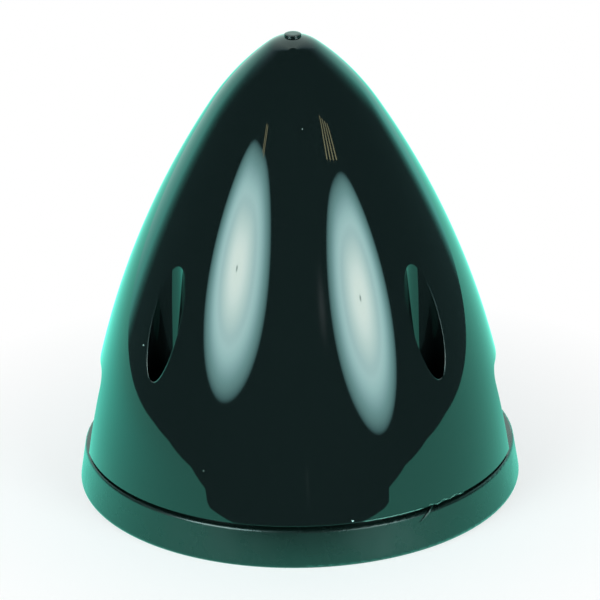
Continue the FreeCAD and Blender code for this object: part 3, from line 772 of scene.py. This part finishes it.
def room_world():
    """A world that is white to the camera and a dark room to everything else."""
    world = bpy.data.worlds.new("studio_world")
    world.use_nodes = True
    tree = world.node_tree
    tree.nodes.clear()
    path = node(tree, "ShaderNodeLightPath").outputs
    dim = node(tree, "ShaderNodeBackground", Color=[*ROOM_TONE, 1.0], Strength=1.0)
    bright = node(tree, "ShaderNodeBackground", Color=WHITE, Strength=1.0)
    sky = node(tree, "ShaderNodeMixShader", Fac=path["Is Camera Ray"], i1=dim.outputs[0], i2=bright.outputs[0])
    close(tree, sky.outputs[0], "ShaderNodeOutputWorld")
    return world


def studio_camera(studio):
    """The camera at its distance, turn and pitch from the point that it looks at, leaned by its roll."""
    pitch, turn = studio.camera_pitch, studio.camera_turn
    look = np.array([studio.look_right, 0.0, studio.look_height])
    away = np.array([math.sin(turn) * math.cos(pitch), -math.cos(turn) * math.cos(pitch), math.sin(pitch)])
    lens = bpy.data.cameras.new("studio_camera")
    lens.sensor_width = 36.0
    lens.lens = studio.camera_lens
    lens.clip_start, lens.clip_end = 0.01, 20.0
    camera = stand("studio_camera", lens)
    camera.matrix_world = (
        Matrix.Translation(look + away * studio.camera_distance)
        @ Matrix.Rotation(turn, 4, "Z")
        @ Matrix.Rotation(math.pi / 2 - pitch, 4, "X")
        @ Matrix.Rotation(studio.camera_roll, 4, "Z")
    )
    return camera


# ---------------------------------------------------------------- operators


class SPINNER_OT_cone(bpy.types.Operator):
    """Gives the cone its polished black moulding"""

    bl_idname = "spinner.cone"
    bl_label = "Finish the cone"

    def execute(self, context):
        wear(CONE, cone_plastic(context.scene.spinner_finish))
        return {"FINISHED"}


class SPINNER_OT_backplate(bpy.types.Operator):
    """Gives the backplate its satin moulding"""

    bl_idname = "spinner.backplate"
    bl_label = "Finish the backplate"

    def execute(self, context):
        wear(BACKPLATE, plate_plastic(context.scene.spinner_finish))
        return {"FINISHED"}


class SPINNER_OT_screws(bpy.types.Operator):
    """Gives the four screws their zinc plating"""

    bl_idname = "spinner.screws"
    bl_label = "Finish the screws"

    def execute(self, context):
        steel = screw_steel(context.scene.spinner_finish)
        for name in SCREWS:
            wear(name, steel)
        return {"FINISHED"}


class SPINNER_OT_threads(bpy.types.Operator):
    """Winds the self-tapping threads on the four screws"""

    bl_idname = "spinner.threads"
    bl_label = "Wind the screw threads"

    def execute(self, context):
        details = context.scene.spinner_details
        steel = bpy.data.materials["steel_zinc_plated"]
        for screw in SCREWS:
            low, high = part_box(screw)
            centre = (low + high) / 2
            path, ridge = thread_ridge(centre.x, centre.y, low.z + details.screw_length, details)
            name = screw.replace("cone_screw", "screw_thread")
            piece = stand(name, swept(name, path, ridge, steel))
            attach(piece, "root")
        return {"FINISHED"}


class SPINNER_OT_flash(bpy.types.Operator):
    """Lays the moulding flash and burr along the cone's base edge, pale as a painted highlight, and the whisker that
    hangs over the rim
    """

    bl_idname = "spinner.flash"
    bl_label = "Lay the moulding flash"

    def execute(self, context):
        thickness = context.scene.spinner_details.flash_thickness
        pale = flash_plastic_painted_highlight(context.scene.spinner_finish)
        black = bpy.data.materials["abs_black_polished_moulding"]
        # The flash and burr wear the pale flash colour, which is partly a painted highlight of the base edge; the
        # whisker wears the black skin.
        lines = (
            ("seam_flash", flash_line, pale), ("seam_burr_painted_highlight", burr_line, pale), ("seam_whisker", whisker_line, black),
        )
        for name, line, material in lines:
            path, radius = line(thickness)
            piece = stand(name, swept(name, path, round_bar(path, radius), material))
            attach(piece, "root")
        return {"FINISHED"}


class SPINNER_OT_dust(bpy.types.Operator):
    """Settles a few pale specks on the cone"""

    bl_idname = "spinner.dust"
    bl_label = "Settle the dust"

    def execute(self, context):
        work = bmesh.new()
        for points in speck_lumps(context.scene.spinner_details.speck_size):
            speck = grid_mesh("speck", points, wrap=True)
            work.from_mesh(speck)
            bpy.data.meshes.remove(speck)
        mesh = bpy.data.meshes.new("dust_specks")
        seal(mesh, work, 1e-8)
        mesh.materials.append(dust_lint(context.scene.spinner_finish))
        piece = stand("dust_specks", mesh)
        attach(piece, "root")
        return {"FINISHED"}


class SPINNER_OT_stage(bpy.types.Operator):
    """Sets the paper floor, the softboxes, the boards and the camera"""

    bl_idname = "spinner.stage"
    bl_label = "Set the stage"

    def execute(self, context):
        scene = context.scene
        studio = scene.spinner_studio
        paper = studio_paper(studio)
        floor = stage_sheet("studio_floor", flat_sheet((0, 0, -FLOOR_DROP), (3, 0, 0), (0, 3, 0)), paper)
        wall = stage_sheet(
            "studio_backdrop", flat_sheet((0, 3, 1.5), (6, 0, 0), (0, 0, 3)), glow("backdrop_white", WHITE, 1.0)
        )
        floor.visible_camera = wall.visible_camera = True
        floor.visible_glossy = wall.visible_glossy = False

        cloth = painted_light("softbox_cloth", studio.box_strength)
        for name, turn, lift, rim in LAMPS:
            points, shine = round_lamp(turn, lift, rim)
            stage_sheet(f"softbox_{name}", points, cloth, shine)
        window = glow("window_slats", WINDOW_COLOUR, WINDOW_STRENGTH)
        for i, (sides, count, share) in enumerate(WINDOWS):
            for j, points in enumerate(slats(sides, count, share)):
                stage_sheet(f"window_slat_{i}_{j}", points, window, mirror_only=True)
        haze = painted_light("room_haze", 1.0)
        for i, patch in enumerate(ROOM_PATCHES):
            points, shine = soft_patch(*patch)
            stage_sheet(f"room_patch_{i}", points, haze, shine, mirror_only=True)
        green = painted_light("surround_paper", studio.surround_strength)
        for name, board in (("surround_table", table_board), ("surround_sweep", sweep_board)):
            points, shine = board()
            stage_sheet(name, points, green, shine, mirror_only=True)

        scene.world = room_world()
        scene.camera = studio_camera(studio)
        scene.view_settings.view_transform = "Standard"
        return {"FINISHED"}


class SPINNER_PT_panel(bpy.types.Panel):
    """Lists the spinner's pieces and its stage"""

    bl_idname = "SPINNER_PT_panel"
    bl_label = "Propeller spinner"
    bl_space_type = "VIEW_3D"
    bl_region_type = "UI"
    bl_category = "Spinner"

    def draw(self, context):
        for operator in STEPS:
            self.layout.operator(operator.bl_idname)
        scene = context.scene
        for group in (scene.spinner_finish, scene.spinner_details, scene.spinner_studio):
            for name in group.__annotations__:
                self.layout.prop(group, name)


STEPS = (
    SPINNER_OT_stage, SPINNER_OT_cone, SPINNER_OT_backplate, SPINNER_OT_screws, SPINNER_OT_threads, SPINNER_OT_flash,
    SPINNER_OT_dust,
)
GROUPS = (SpinnerFinish, SpinnerDetails, SpinnerStudio)


def register():
    for made in GROUPS + STEPS + (SPINNER_PT_panel,):
        bpy.utils.register_class(made)
    bpy.types.Scene.spinner_finish = bpy.props.PointerProperty(type=SpinnerFinish)
    bpy.types.Scene.spinner_details = bpy.props.PointerProperty(type=SpinnerDetails)
    bpy.types.Scene.spinner_studio = bpy.props.PointerProperty(type=SpinnerStudio)


def unregister():
    del bpy.types.Scene.spinner_studio
    del bpy.types.Scene.spinner_details
    del bpy.types.Scene.spinner_finish
    for made in reversed(GROUPS + STEPS + (SPINNER_PT_panel,)):
        bpy.utils.unregister_class(made)


def main():
    register()
    for operator in STEPS:
        area, name = operator.bl_idname.split(".")
        getattr(getattr(bpy.ops, area), name)()


if __name__ == "__main__":
    main()
